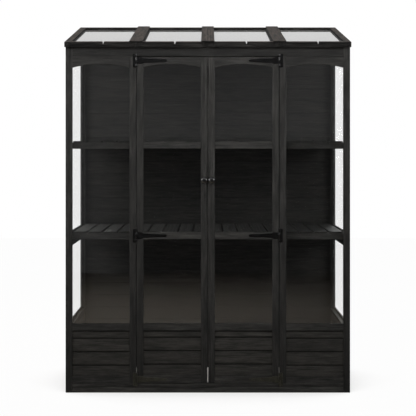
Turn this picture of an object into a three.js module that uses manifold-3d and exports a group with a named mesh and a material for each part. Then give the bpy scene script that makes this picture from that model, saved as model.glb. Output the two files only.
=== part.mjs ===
// A tall wooden mini greenhouse: a pent-roofed cabinet of framed panels with clear panes above
// tongue-and-groove boards, two hinged front doors, two slatted shelves and an open bottom.
// Millimetres, X to the right, Y to the back and Z up. The front face of the cabinet is built at
// Y zero, and the finished group is moved so that its origin is the middle of its footprint.
import * as THREE from "three";
import { mergeVertices } from "three/addons/utils/BufferGeometryUtils.js";
import Module from "manifold-3d";

const wasm = await Module();
wasm.setup();

// The cabinet
const bodyWidth = 1200;
const bodyDepth = 580;
const frontHeight = 1458;
const roofPitch = THREE.MathUtils.degToRad(11.8);

// Clearances
const seat = 0.3; // between two pieces that lie against each other
const overrun = 4; // how far a cutting solid reaches past what it cuts

// Timber of the wall panels
const stileWidth = 28;
const frameThickness = 25;
const lip = 5; // outer edge of a frame, which panes and boards lie against
const rebate = 10; // how far panes and boards reach behind the lip
const edgePlay = 0.8; // room around a pane or boards in the rebate
const paneThickness = 3;

// Tongue-and-groove boards
const boardPitch = 57;
const boardThickness = 10;
const grooveWidth = 3;
const grooveDepth = 1.6;

// Front, heights above the ground
const plinthHeight = 38.5;
const fixedRailHeight = 28.5;
const boardsTop = 261.5;
const sillHeight = 29.5;
const archRise = 16;
const headerHeight = 40;

// Doors
const doorWidth = 298.5;
const doorRailHeight = 30;
const doorHeadRailHeight = 29; // at the crown of the arch
const meetingGap = 3;
const hingeGap = 2.5;
const doorFootGap = 2.5;
const doorHeadGap = 3;
const upperRailLead = 2; // from the upper shelf's top down to the cross rail in front of it
const doorBoardEdge = 9.5; // how far the lowest board reaches behind the bottom rail

// Side panels
const sideInset = 4; // from the outer edges of the corner stiles in to the side frames
const sideFootRailHeight = 67;
const sideMidRailHeight = 65; // the wide rail that the lower shelf is screwed to
const sideMidRailDrop = 4; // from the lower shelf's top down to the top of that rail
const topRailWidth = 28;

// Shelves
const lowerShelfTop = 677;
const upperShelfTop = 1061;
const slatThickness = 6;
const slatWidth = 55;
const slatPitch = 64;
const shelfRailHeight = 27;
const shelfRailThickness = 20;
const bearerWidth = 20;
const bearerDrop = 2; // from the top and the foot of the rails to the bearers
const bearerBays = 4; // equal bays along a shelf, with two bearers each
const bearerOffset = 56; // from the middle of a bay to its bearers
const slatHousing = 1; // how deep the slats are let into the rails
const slatSetback = 1; // from the faces of the rails to the ends of the slats
const doorStopGap = 1.2; // between a shelf's front rail and the closed doors

// Roof: four glazed frames side by side, with battens over their joints
const roofFrameCount = 4;
const roofFrameGap = 1;
const roofFrameHeight = 22;
const roofMember = 28;
const roofSideOverhang = 3.5;
const roofFrontOverhang = 15; // along the slope
const roofBackOverhang = 15; // along the slope
const roofLip = 9; // from the top of the roof frames down to the rebate that holds the pane
const drainOffset = 12; // from the middle of a pane to the drain notch in its front rail
const drainTopWidth = 8;
const drainFootWidth = 4;
const battenThickness = 5;
const battenFrontOverhang = 6;

// Door furniture
const knobRadius = 14;
const knobLength = 28;
const knobStemRadius = 5.5;
const knobFlangeRadius = 8;
const knobHeight = 895;
const plateHeight = 57;
const plateWidth = 15; // from the pin to the outer edge of the cross plate
const strapLength = 128; // from the pin to the tip
const strapRootHeight = 28;
const strapRootLength = 24;
const strapNeckHeight = 19;
const strapNeckLength = 7;
const strapTipRadius = 5;
const leafThickness = 2;
const leafCorner = 2;
const knuckleRadius = 4;
const pinRadius = 1.8;
const pinPlay = 0.35;
const knucklePlay = 0.5;

// Twin magnetic catch behind the door heads
const catchWidth = 52;
const catchReach = 35; // below the header, behind the door heads
const catchRise = 23; // above the foot of the header, where it is screwed on
const catchFlange = 4;
const catchDepth = 14;
const strikeWidth = 14;
const strikeHeight = 26;
const strikeThickness = 1.5;
const strikeEdge = 4; // from the door's free edge to the strike plate

// Round stretches
const knobSegments = 32;
const knuckleSegments = 20;
const archSegments = 14;
const tipSegments = 8;

// Sizes that follow from these
const halfWidth = bodyWidth / 2;
const innerHalfWidth = halfWidth - frameThickness;
const stileInner = halfWidth - stileWidth; // inner edge of a corner stile, from the middle
const innerBack = bodyDepth - frameThickness;
const headerBottom = frontHeight - headerHeight;
const doorFoot = plinthHeight + doorFootGap;
const doorTop = headerBottom - doorHeadGap;
const doorNear = meetingGap / 2; // free edge of a door, from the middle
const doorFar = doorNear + doorWidth; // hinged edge of a door, from the middle
const fixedNear = doorFar + hingeGap; // inner edge of a fixed front panel
const archCrown = doorTop - doorHeadRailHeight;
const sillTop = boardsTop + sillHeight;
const lowerMidRail = lowerShelfTop - doorRailHeight; // underside of the lower cross rail
const upperMidRail = upperShelfTop - upperRailLead - doorRailHeight; // and of the upper one
const sideMidRail = lowerShelfTop - sideMidRailDrop - sideMidRailHeight; // its underside
const catchBottom = headerBottom - catchReach;
const pinAcross = (doorFar + fixedNear) / 2;
const pinForward = knuckleRadius + seat; // the pins stand this far in front of the cabinet
const slope = Math.tan(roofPitch);
const aboveFront = frontHeight + frameThickness * slope + overrun; // clear of the roof's cut
const roofDrop = topRailWidth / Math.cos(roofPitch);
const roofWidth = bodyWidth + 2 * roofSideOverhang;
const roofFrameWidth = (roofWidth + roofFrameGap) / roofFrameCount - roofFrameGap;
const roofFrameLength = bodyDepth / Math.cos(roofPitch) + roofFrontOverhang + roofBackOverhang;

const group = new THREE.Group();

// Materials, one for each piece
function stainedWood() {
  return new THREE.MeshStandardMaterial({ color: 0x2b2826, roughness: 0.72, metalness: 0 });
}

function clearSheet() {
  return new THREE.MeshStandardMaterial({
    color: 0xeef1f0,
    roughness: 0.12,
    metalness: 0,
    transparent: true,
    opacity: 0.25,
  });
}

function hazySheet() {
  return new THREE.MeshStandardMaterial({
    color: 0xd6d3d2,
    roughness: 0.35,
    metalness: 0,
    transparent: true,
    opacity: 0.8,
  });
}

function blackMetal() {
  return new THREE.MeshStandardMaterial({ color: 0x17171a, roughness: 0.4, metalness: 0.8 });
}

function platedSteel() {
  return new THREE.MeshStandardMaterial({ color: 0xa8a9ab, roughness: 0.35, metalness: 1 });
}

function blackGloss() {
  return new THREE.MeshStandardMaterial({ color: 0x111112, roughness: 0.15, metalness: 0 });
}

function blackPlastic() {
  return new THREE.MeshStandardMaterial({ color: 0x1c1c1e, roughness: 0.55, metalness: 0 });
}

function add(name, geometry, material, parent = group) {
  const mesh = new THREE.Mesh(geometry, material);
  mesh.name = name;
  parent.add(mesh);
  return mesh;
}

// Solid modelling: a geometry as a solid that can be cut and joined, and back
function solid(geometry) {
  const bare = geometry.clone();
  bare.deleteAttribute("normal");
  bare.deleteAttribute("uv");
  const merged = mergeVertices(bare);
  return new wasm.Manifold(
    new wasm.Mesh({
      numProp: 3,
      vertProperties: new Float32Array(merged.attributes.position.array),
      triVerts: new Uint32Array(merged.index.array),
    }),
  );
}

function geometryOf(manifold) {
  const mesh = manifold.getMesh();
  const geometry = new THREE.BufferGeometry();
  geometry.setAttribute("position", new THREE.BufferAttribute(mesh.vertProperties, 3));
  geometry.setIndex(new THREE.BufferAttribute(mesh.triVerts, 1));
  geometry.computeVertexNormals();
  return geometry;
}

function joined(geometries) {
  return geometries.map(solid).reduce((whole, piece) => whole.add(piece));
}

function box(x0, x1, y0, y1, z0, z1) {
  const geometry = new THREE.BoxGeometry(Math.abs(x1 - x0), Math.abs(y1 - y0), Math.abs(z1 - z0));
  return geometry.translate((x0 + x1) / 2, (y0 + y1) / 2, (z0 + z1) / 2);
}

// A closed outline through a list of [across, up] points
function outline(points) {
  return new THREE.Shape(points.map(([across, up]) => new THREE.Vector2(across, up)));
}

function rectangle(across0, across1, up0, up1) {
  return outline([
    [across0, up0],
    [across1, up0],
    [across1, up1],
    [across0, up1],
  ]);
}

// An outline seen from the front, X across and Z up, given a thickness to the back
function faceOn(shape, front, thickness) {
  const geometry = new THREE.ExtrudeGeometry(shape, { depth: thickness, bevelEnabled: false });
  return geometry.rotateX(Math.PI / 2).translate(0, front + thickness, 0);
}

// An outline seen from the right, Y across and Z up, run from one X to another
const sidewise = new THREE.Matrix4().makeBasis(
  new THREE.Vector3(0, 1, 0),
  new THREE.Vector3(0, 0, 1),
  new THREE.Vector3(1, 0, 0),
);
function sideOn(shape, start, end) {
  const length = Math.abs(end - start);
  const geometry = new THREE.ExtrudeGeometry(shape, { depth: length, bevelEnabled: false });
  return geometry.applyMatrix4(sidewise).translate(Math.min(start, end), 0, 0);
}

// Height of the body under the roof at a given depth
function underRoof(depth) {
  return frontHeight + depth * slope;
}

// Cuts the top of a panel to the slope of the roof
function roofCut(piece) {
  const reach = bodyDepth + frontHeight;
  const above = new THREE.BoxGeometry(bodyWidth + reach, reach, frontHeight);
  above.translate(0, 0, frontHeight / 2).rotateX(roofPitch).translate(0, 0, frontHeight);
  return piece.subtract(solid(above));
}

// A window outline with an arched head: a segment of a circle through both springing points
function archedWindow(left, right, bottom) {
  const half = (right - left) / 2;
  const radius = (half * half + archRise * archRise) / (2 * archRise);
  const sweep = Math.asin(half / radius);
  const points = [
    [left, bottom],
    [right, bottom],
  ];
  for (let i = 0; i <= archSegments; i += 1) {
    const turn = sweep * (1 - (2 * i) / archSegments);
    points.push([left + half + radius * Math.sin(turn), archCrown - radius * (1 - Math.cos(turn))]);
  }
  return outline(points);
}

// Section of a wall of tongue-and-groove boards, with a V groove on both faces at each joint
function boardSection(outer, inward, bottom, top, firstJoint) {
  const joints = [];
  for (let z = firstJoint; z < top - grooveWidth; z += boardPitch) {
    if (z > bottom + grooveWidth) joints.push(z);
  }
  const inner = outer + inward * boardThickness;
  const points = [[outer, bottom]];
  for (const z of joints) {
    points.push([outer, z - grooveWidth / 2]);
    points.push([outer + inward * grooveDepth, z]);
    points.push([outer, z + grooveWidth / 2]);
  }
  points.push([outer, top]);
  points.push([inner, top]);
  for (const z of joints.reverse()) {
    points.push([inner, z + grooveWidth / 2]);
    points.push([inner - inward * grooveDepth, z]);
    points.push([inner, z - grooveWidth / 2]);
  }
  points.push([inner, bottom]);
  return outline(points);
}

// Front frames: an outline with openings, and behind the lip of each opening a wider rebate
function rebatedFrame(shape, openings) {
  for (const opening of openings) shape.holes.push(opening.edge);
  let frame = solid(faceOn(shape, 0, frameThickness));
  for (const { left, right, bottom, top } of openings) {
    const cutter = box(
      left - rebate,
      right + rebate,
      lip,
      frameThickness + overrun,
      bottom - rebate,
      top + rebate,
    );
    frame = frame.subtract(solid(cutter));
  }
  return frame;
}

function opening(left, right, bottom, top) {
  return { left, right, bottom, top, edge: rectangle(left, right, bottom, top) };
}

function archedOpening(left, right, bottom) {
  return { left, right, bottom, top: archCrown, edge: archedWindow(left, right, bottom) };
}

// A pane or a wall of boards in its rebate, against the lip
function paneIn({ left, right, bottom, top }) {
  const reach = rebate - edgePlay;
  return box(
    left - reach,
    right + reach,
    lip + seat,
    lip + seat + paneThickness,
    bottom - reach,
    top + reach,
  );
}

function boardsIn({ left, right, bottom, top }, firstJoint) {
  const reach = rebate - edgePlay;
  const section = boardSection(lip + seat, 1, bottom - reach, top + reach, firstJoint);
  return sideOn(section, left - reach, right + reach);
}

const sides = [
  ["left", -1],
  ["right", 1],
];

// Across from the near and far edge, in the order left to right
function span(side, near, far) {
  return side < 0 ? [-far, -near] : [near, far];
}

// Fixed front panels, whose outer stile runs from the ground to the roof, past plinth and header
function addFixedFronts() {
  const panelTop = headerBottom - seat;
  for (const [word, side] of sides) {
    const shape = outline([
      [side * halfWidth, 0],
      [side * stileInner, 0],
      [side * stileInner, plinthHeight],
      [side * fixedNear, plinthHeight],
      [side * fixedNear, panelTop],
      [side * stileInner, panelTop],
      [side * stileInner, aboveFront],
      [side * halfWidth, aboveFront],
    ]);
    const [left, right] = span(side, fixedNear + stileWidth, stileInner);
    const boards = opening(left, right, plinthHeight + fixedRailHeight, boardsTop);
    const window = archedOpening(left, right, sillTop);
    const frame = roofCut(rebatedFrame(shape, [boards, window]));
    add(`${word}_front_frame`, geometryOf(frame), stainedWood());
    add(`${word}_front_boards`, boardsIn(boards, boardPitch), stainedWood());
    add(`${word}_front_pane`, paneIn(window), clearSheet());
  }
}

// Header over the front panels and plinth under them, both between the corner stiles
function addHeaderAndPlinth() {
  const end = stileInner - seat;
  const header = box(-end, end, 0, frameThickness, headerBottom, aboveFront);
  const plinth = box(-end, end, 0, frameThickness, 0, plinthHeight - seat);
  add("front_header_rail", geometryOf(roofCut(solid(header))), stainedWood());
  add("front_plinth_rail", plinth, stainedWood());
}

// Side panels: they stand between the front and the back panels, with a sloping top rail
function addSides() {
  const front = frameThickness + seat;
  const back = innerBack - seat;
  const windowFront = front + stileWidth;
  const windowBack = back - stileWidth;
  const outer = halfWidth - sideInset;
  const midTop = sideMidRail + sideMidRailHeight;
  const upper = (grow) =>
    outline([
      [windowFront - grow, midTop - grow],
      [windowBack + grow, midTop - grow],
      [windowBack + grow, underRoof(windowBack + grow) - roofDrop + grow / Math.cos(roofPitch)],
      [windowFront - grow, underRoof(windowFront - grow) - roofDrop + grow / Math.cos(roofPitch)],
    ]);
  const lower = (grow) =>
    rectangle(windowFront - grow, windowBack + grow, sillTop - grow, sideMidRail + grow);
  const boards = (grow) =>
    rectangle(windowFront - grow, windowBack + grow, sideFootRailHeight - grow, boardsTop + grow);
  const reach = rebate - edgePlay;
  for (const [word, side] of sides) {
    const shape = outline([
      [front, 0],
      [back, 0],
      [back, underRoof(back)],
      [front, underRoof(front)],
    ]);
    shape.holes.push(upper(0), lower(0), boards(0));
    let frame = solid(sideOn(shape, side * innerHalfWidth, side * outer));
    const lipFace = side * (outer - lip);
    const cutterEnd = side * (innerHalfWidth - overrun);
    for (const cut of [upper, lower, boards]) {
      frame = frame.subtract(solid(sideOn(cut(rebate), cutterEnd, lipFace)));
    }
    const paneOuter = side * (outer - lip - seat);
    const paneInner = side * (outer - lip - seat - paneThickness);
    const section = boardSection(
      paneOuter,
      -side,
      sideFootRailHeight - reach,
      boardsTop + reach,
      boardPitch,
    );
    const boardStart = windowFront - reach;
    const boardLength = windowBack + reach - boardStart;
    add(`${word}_side_frame`, geometryOf(frame), stainedWood());
    add(`${word}_side_boards`, faceOn(section, boardStart, boardLength), stainedWood());
    add(`${word}_side_lower_pane`, sideOn(lower(reach), paneInner, paneOuter), clearSheet());
    add(`${word}_side_upper_pane`, sideOn(upper(reach), paneInner, paneOuter), clearSheet());
  }
}

// Back: two framed panels, boarded from the foot to the top rail
function addBack() {
  const bottom = sideFootRailHeight;
  const top = underRoof(innerBack) - topRailWidth;
  const reach = rebate - edgePlay;
  for (const [word, side] of sides) {
    const [outerLeft, outerRight] = span(side, seat / 2, halfWidth);
    const [left, right] = span(side, seat / 2 + stileWidth, halfWidth - stileWidth);
    const shape = rectangle(outerLeft, outerRight, 0, underRoof(bodyDepth) + overrun);
    shape.holes.push(rectangle(left, right, bottom, top));
    const cutter = box(
      left - rebate,
      right + rebate,
      innerBack - overrun,
      bodyDepth - lip,
      bottom - rebate,
      top + rebate,
    );
    const frame = solid(faceOn(shape, innerBack, frameThickness)).subtract(solid(cutter));
    const boardFace = bodyDepth - lip - seat;
    const section = boardSection(boardFace, -1, bottom - reach, top + reach, boardPitch);
    const boards = sideOn(section, left - reach, right + reach);
    add(`${word}_back_frame`, geometryOf(roofCut(frame)), stainedWood());
    add(`${word}_back_boards`, boards, stainedWood());
  }
}

// Shelves: slats from front to back on a frame of two long rails, end rails and cross bearers
function shelf(top) {
  const end = innerHalfWidth - seat;
  const front = frameThickness + doorStopGap;
  const back = innerBack - seat;
  const railTop = top - slatThickness;
  const railFoot = railTop - shelfRailHeight;
  const frontRail = front + shelfRailThickness;
  const backRail = back - shelfRailThickness;
  const pieces = [
    box(-end, end, front, frontRail, railFoot, railTop),
    box(-end, end, backRail, back, railFoot, railTop),
  ];
  const endCentre = end - bearerWidth / 2 - slatSetback;
  const centres = [-endCentre, endCentre];
  for (let bay = 0; bay < bearerBays; bay += 1) {
    const middle = bodyWidth * ((bay + 1 / 2) / bearerBays - 1 / 2);
    centres.push(middle - bearerOffset, middle + bearerOffset);
  }
  const bearerTop = railTop - bearerDrop;
  const bearerFoot = railFoot + bearerDrop;
  for (const centre of centres) {
    const near = centre - bearerWidth / 2;
    const far = centre + bearerWidth / 2;
    const [start, finish] = [front + shelfRailThickness / 2, back - shelfRailThickness / 2];
    pieces.push(box(near, far, start, finish, bearerFoot, bearerTop));
  }
  const slatCount = Math.floor((2 * end + slatPitch - slatWidth) / slatPitch);
  for (let i = 0; i < slatCount; i += 1) {
    const centre = (i - (slatCount - 1) / 2) * slatPitch;
    const [left, right] = [centre - slatWidth / 2, centre + slatWidth / 2];
    const [start, finish] = [front + slatSetback, back - slatSetback];
    pieces.push(box(left, right, start, finish, railTop - slatHousing, top));
  }
  return geometryOf(joined(pieces));
}

// Doors: stiles, an arched head rail, two cross rails, a sill rail and a foot rail
function addDoor(word, side) {
  const [outerLeft, outerRight] = span(side, doorNear, doorFar);
  const left = outerLeft + stileWidth;
  const right = outerRight - stileWidth;
  const footRailTop = doorFoot + doorRailHeight;
  const boards = opening(left, right, footRailTop, boardsTop);
  const lowerWindow = opening(left, right, boardsTop + doorRailHeight, lowerMidRail);
  const middleWindow = opening(left, right, lowerMidRail + doorRailHeight, upperMidRail);
  const upperWindow = archedOpening(left, right, upperMidRail + doorRailHeight);
  const frame = rebatedFrame(rectangle(outerLeft, outerRight, doorFoot, doorTop), [
    boards,
    lowerWindow,
    middleWindow,
    upperWindow,
  ]);
  const firstJoint = footRailTop - doorBoardEdge + boardPitch;
  add(`${word}_door_frame`, geometryOf(frame), stainedWood());
  add(`${word}_door_boards`, boardsIn(boards, firstJoint), stainedWood());
  add(`${word}_door_lower_pane`, paneIn(lowerWindow), clearSheet());
  add(`${word}_door_middle_pane`, paneIn(middleWindow), clearSheet());
  add(`${word}_door_upper_pane`, paneIn(upperWindow), clearSheet());
}

// A turned knob on the free stile of a door, from the door's face forward
function knob(side) {
  const lengthShares = [0.46, 0.55, 0.68, 0.8, 0.9, 0.97];
  const radiusShares = [0.62, 0.88, 1, 0.95, 0.76, 0.45];
  const flangeShare = 0.1;
  const neckStartShare = 0.2;
  const neckEndShare = 0.36;
  const profile = [
    new THREE.Vector2(0, 0),
    new THREE.Vector2(knobFlangeRadius, 0),
    new THREE.Vector2(knobFlangeRadius, knobLength * flangeShare),
    new THREE.Vector2(knobStemRadius, knobLength * neckStartShare),
    new THREE.Vector2(knobStemRadius, knobLength * neckEndShare),
  ];
  lengthShares.forEach((share, i) => {
    profile.push(new THREE.Vector2(knobRadius * radiusShares[i], knobLength * share));
  });
  profile.push(new THREE.Vector2(0, knobLength));
  const turned = new THREE.LatheGeometry(profile, knobSegments);
  return turned
    .rotateZ(Math.PI)
    .translate(side * (doorNear + stileWidth / 2), -seat, knobHeight);
}

// T-hinges. A barrel of three knuckles on one pin, drawn with the pin upright at the middle.
function barrel(radius, bottom, top) {
  const geometry = new THREE.CylinderGeometry(radius, radius, top - bottom, knuckleSegments);
  return geometry.rotateX(Math.PI / 2).translate(0, 0, (top + bottom) / 2);
}

// Cross plate with the upper and lower knuckles and the riveted pin
function hingePlate(side) {
  const half = plateHeight / 2;
  const knuckleHalf = strapRootHeight / 2 + knucklePlay;
  const inner = side * (knuckleRadius + knucklePlay);
  const outer = side * plateWidth;
  const leaf = outline([
    [0, knuckleHalf],
    [inner, knuckleHalf],
    [inner, -knuckleHalf],
    [0, -knuckleHalf],
    [0, -half],
    [outer - side * leafCorner, -half],
    [outer, -half + leafCorner],
    [outer, half - leafCorner],
    [outer - side * leafCorner, half],
    [0, half],
  ]);
  return joined([
    faceOn(leaf, knuckleRadius - leafThickness, leafThickness),
    barrel(knuckleRadius, knuckleHalf, half),
    barrel(knuckleRadius, -half, -knuckleHalf),
    barrel(pinRadius, -half, half),
  ]);
}

// Tapered strap with the middle knuckle, bored for the pin
function hingeStrap(side) {
  const root = strapRootHeight / 2;
  const neck = strapNeckHeight / 2;
  const tipCentre = strapLength - strapTipRadius;
  const neckEnd = strapRootLength + strapNeckLength;
  const points = [
    [0, -root],
    [strapRootLength, -root],
    [neckEnd, -neck],
  ];
  for (let i = 0; i <= tipSegments; i += 1) {
    const turn = Math.PI * (i / tipSegments - 1 / 2);
    points.push([
      tipCentre + strapTipRadius * Math.cos(turn),
      strapTipRadius * Math.sin(turn),
    ]);
  }
  points.push([neckEnd, neck], [strapRootLength, root], [0, root]);
  const leaf = outline(points.map(([across, up]) => [side * across, up]));
  const strap = joined([
    faceOn(leaf, knuckleRadius - leafThickness, leafThickness),
    barrel(knuckleRadius, -root, root),
  ]);
  return strap.subtract(solid(barrel(pinRadius + pinPlay, -root - overrun, root + overrun)));
}

function addHinges() {
  const heights = [
    ["top", doorTop - doorRailHeight / 2],
    ["middle", lowerMidRail + doorRailHeight / 2],
    ["bottom", doorFoot + doorRailHeight / 2],
  ];
  for (const [word, side] of sides) {
    for (const [place, height] of heights) {
      const plate = geometryOf(hingePlate(side));
      const strap = geometryOf(hingeStrap(-side));
      plate.translate(side * pinAcross, -pinForward, height);
      strap.translate(side * pinAcross, -pinForward, height);
      add(`${word}_${place}_hinge_plate`, plate, blackMetal());
      add(`${word}_${place}_hinge_strap`, strap, blackMetal());
    }
  }
}

// Twin magnetic catch on the back of the header, and a steel strike plate on each door
function addCatch() {
  const flangeFront = frameThickness + seat;
  const magnetFace = frameThickness + seat + strikeThickness + seat;
  const section = outline([
    [flangeFront, headerBottom + catchFlange],
    [magnetFace, headerBottom],
    [magnetFace, catchBottom],
    [magnetFace + catchDepth, catchBottom],
    [magnetFace + catchDepth, headerBottom],
    [flangeFront + catchFlange, headerBottom + catchFlange],
    [flangeFront + catchFlange, headerBottom + catchRise],
    [flangeFront, headerBottom + catchRise],
  ]);
  add("door_magnet_catch", sideOn(section, -catchWidth / 2, catchWidth / 2), blackPlastic());
  for (const [word, side] of sides) {
    const [left, right] = span(
      side,
      doorNear + strikeEdge,
      doorNear + strikeEdge + strikeWidth,
    );
    const plate = box(
      left,
      right,
      frameThickness + seat,
      frameThickness + seat + strikeThickness,
      catchBottom,
      catchBottom + strikeHeight,
    );
    add(`${word}_door_strike_plate`, plate, platedSteel());
  }
}

// Roof, drawn flat with its underside at zero height and then tilted. The panes lie under a deep
// lip, and a notch sawn through each front rail lets the rain run off them.
function addRoof() {
  const roof = new THREE.Group();
  roof.position.set(0, 0, frontHeight + seat / Math.cos(roofPitch));
  roof.rotation.x = roofPitch;
  group.add(roof);
  const front = -roofFrontOverhang;
  const back = front + roofFrameLength;
  const pitchAcross = roofFrameWidth + roofFrameGap;
  const battenWidth = 2 * roofMember;
  const lipFoot = roofFrameHeight - roofLip;
  const paneTop = lipFoot - seat;
  for (let i = 0; i < roofFrameCount; i += 1) {
    const middle = (i - (roofFrameCount - 1) / 2) * pitchAcross;
    const left = middle - roofFrameWidth / 2;
    const right = middle + roofFrameWidth / 2;
    const shape = rectangle(left, right, front, back);
    shape.holes.push(
      rectangle(left + roofMember, right - roofMember, front + roofMember, back - roofMember),
    );
    const blank = new THREE.ExtrudeGeometry(shape, { depth: roofFrameHeight, bevelEnabled: false });
    const paneSeat = box(
      left + roofMember - rebate,
      right - roofMember + rebate,
      front + roofMember - rebate,
      back - roofMember + rebate,
      -overrun,
      lipFoot,
    );
    const drainMiddle = middle + drainOffset;
    const drain = faceOn(
      outline([
        [drainMiddle - drainFootWidth / 2, paneTop],
        [drainMiddle + drainFootWidth / 2, paneTop],
        [drainMiddle + drainTopWidth / 2, roofFrameHeight + seat],
        [drainMiddle - drainTopWidth / 2, roofFrameHeight + seat],
      ]),
      front - overrun,
      roofMember + 2 * overrun,
    );
    const reach = rebate - edgePlay;
    const pane = box(
      left + roofMember - reach,
      right - roofMember + reach,
      front + roofMember - reach,
      back - roofMember + reach,
      paneTop - paneThickness,
      paneTop,
    );
    const frame = solid(blank).subtract(solid(paneSeat)).subtract(solid(drain));
    add(`roof_frame_${i + 1}`, geometryOf(frame), stainedWood(), roof);
    add(`roof_pane_${i + 1}`, pane, hazySheet(), roof);
  }
  for (let i = 1; i < roofFrameCount; i += 1) {
    const middle = (i - roofFrameCount / 2) * pitchAcross;
    const batten = box(
      middle - battenWidth / 2,
      middle + battenWidth / 2,
      front - battenFrontOverhang,
      back,
      roofFrameHeight + seat,
      roofFrameHeight + seat + battenThickness,
    );
    add(`roof_batten_${i}`, batten, stainedWood(), roof);
  }
}

addFixedFronts();
addHeaderAndPlinth();
addSides();
addBack();
add("lower_shelf", shelf(lowerShelfTop), stainedWood());
add("upper_shelf", shelf(upperShelfTop), stainedWood());
for (const [word, side] of sides) {
  addDoor(word, side);
  add(`${word}_door_knob`, knob(side), blackGloss());
}
addHinges();
addCatch();
addRoof();

// The origin is the middle of the footprint, on the ground
const reach = new THREE.Box3().setFromObject(group);
group.position.y = -(reach.min.y + reach.max.y) / 2;

export default group;
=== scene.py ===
# Wooden mini greenhouse: a tall pent-roofed cabinet of black-stained softwood with clear panes over
# boarded walls, a pair of arched doors on T-hinges, two slatted shelves and a glazed roof.
# Metres, in the frame of the CAD. The front face looks towards -Y. The outlines of timbers are
# written in millimetres: across from the middle, back from the front face, up from the ground.
import math
import random

import bmesh
import bpy
from mathutils import Matrix, Vector


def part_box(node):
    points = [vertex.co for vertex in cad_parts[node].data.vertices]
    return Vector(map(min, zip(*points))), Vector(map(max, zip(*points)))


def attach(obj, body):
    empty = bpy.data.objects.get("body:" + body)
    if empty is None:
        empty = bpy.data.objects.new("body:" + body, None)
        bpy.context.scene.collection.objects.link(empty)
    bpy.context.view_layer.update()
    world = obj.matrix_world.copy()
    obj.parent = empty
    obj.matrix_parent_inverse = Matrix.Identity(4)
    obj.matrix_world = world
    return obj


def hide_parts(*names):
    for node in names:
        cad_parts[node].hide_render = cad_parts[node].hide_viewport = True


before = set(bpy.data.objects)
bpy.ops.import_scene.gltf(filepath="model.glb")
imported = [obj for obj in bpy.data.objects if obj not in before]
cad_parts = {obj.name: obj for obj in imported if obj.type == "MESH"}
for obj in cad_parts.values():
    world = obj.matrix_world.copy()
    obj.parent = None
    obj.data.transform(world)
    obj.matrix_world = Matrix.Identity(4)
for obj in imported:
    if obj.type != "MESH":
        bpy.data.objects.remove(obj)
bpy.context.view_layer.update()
mm = 0.001

# Camera. It stands level on the middle of the object, at the photo's distance and height, and a
# small shift of the lens brings the whole cabinet into the frame.
camera_data = bpy.data.cameras.new("camera")
camera_data.lens = 97.96
camera_data.sensor_width = 36
camera_data.shift_x = 0.0004
camera_data.shift_y = -0.1394
camera = bpy.data.objects.new("camera", camera_data)
camera.location = (0, -5.057, 1.023)
camera.rotation_euler = (math.pi / 2, 0, 0)
bpy.context.scene.collection.objects.link(camera)
bpy.context.scene.camera = camera
bpy.context.scene.view_settings.view_transform = "Standard"


# Surroundings. A white studio whose far side is bright and whose camera side is dark, so that the
# panes stay dark from the front while metal and the roof panes mirror the white backdrop. What is
# seen straight through a pane is as white as what the camera sees beside it.
def node(tree, kind, inputs=None, **settings):
    made = tree.nodes.new(kind)
    for name, value in settings.items():
        setattr(made, name, value)
    for name, value in (inputs or {}).items():
        if isinstance(value, bpy.types.NodeSocket):
            tree.links.new(value, made.inputs[name])
        else:
            made.inputs[name].default_value = value
    return made


def scalar(tree, operation, first, second=0.0):
    return node(tree, "ShaderNodeMath", {0: first, 1: second}, operation=operation).outputs[0]


def blend_values(tree, factor, low, high):
    mixed = node(tree, "ShaderNodeMix", {0: factor, 2: low, 3: high}, data_type="FLOAT")
    return mixed.outputs[0]


def graded(tree, value, span, levels, curve="LINEAR"):
    """The value's way along a span, turned into the way from one level to another."""
    inputs = {
        "Value": value,
        "From Min": span[0],
        "From Max": span[1],
        "To Min": levels[0],
        "To Max": levels[1],
    }
    return node(tree, "ShaderNodeMapRange", inputs, interpolation_type=curve).outputs[0]


def straight_through(tree, path):
    bounces = scalar(tree, "ADD", path.outputs["Glossy Depth"], path.outputs["Diffuse Depth"])
    straight = scalar(tree, "LESS_THAN", bounces, 0.5)
    return scalar(tree, "MULTIPLY", path.outputs["Is Transmission Ray"], straight)


studio = bpy.data.worlds.new("studio")
bpy.context.scene.world = studio
studio.use_nodes = True
tree = studio.node_tree
path = node(tree, "ShaderNodeLightPath")
direction = node(tree, "ShaderNodeTexCoord").outputs["Generated"]
compass = node(tree, "ShaderNodeSeparateXYZ", {0: direction}).outputs
seen = scalar(tree, "MAXIMUM", path.outputs["Is Camera Ray"], straight_through(tree, path))
far_side = graded(tree, compass["Y"], (-0.3, 0.5), (0.03, 1.0), "SMOOTHSTEP")
left_wall = graded(tree, compass["X"], (-0.05, -0.12), (0.0, 0.2))
right_wall = graded(tree, compass["X"], (0.05, 0.12), (0.0, 0.05))
haze = graded(tree, compass["Z"], (0.004, 0.012), (0.0, 0.2))
walls = scalar(tree, "ADD", left_wall, right_wall)
walls = scalar(tree, "MAXIMUM", far_side, scalar(tree, "MAXIMUM", walls, haze))
soft_light = 0.15
unseen = blend_values(tree, path.outputs["Is Diffuse Ray"], walls, soft_light)
background = tree.nodes["Background"]
background.inputs["Color"].default_value = (1, 1, 1, 1)
tree.links.new(blend_values(tree, seen, unseen, 1.0), background.inputs["Strength"])


# Floor. Pale, seamless and matt. It is seen as white, with a soft shade where the cabinet shelters
# it. Where the lower panes mirror it and in the light it throws back, its warm paper carries a
# painted pool of light in front of the cabinet, brighter towards the left, and painted shade near
# it.
def scaled(tree, vector, factor):
    inputs = {0: vector, "Scale": factor}
    return node(tree, "ShaderNodeVectorMath", inputs, operation="SCALE").outputs[0]


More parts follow.
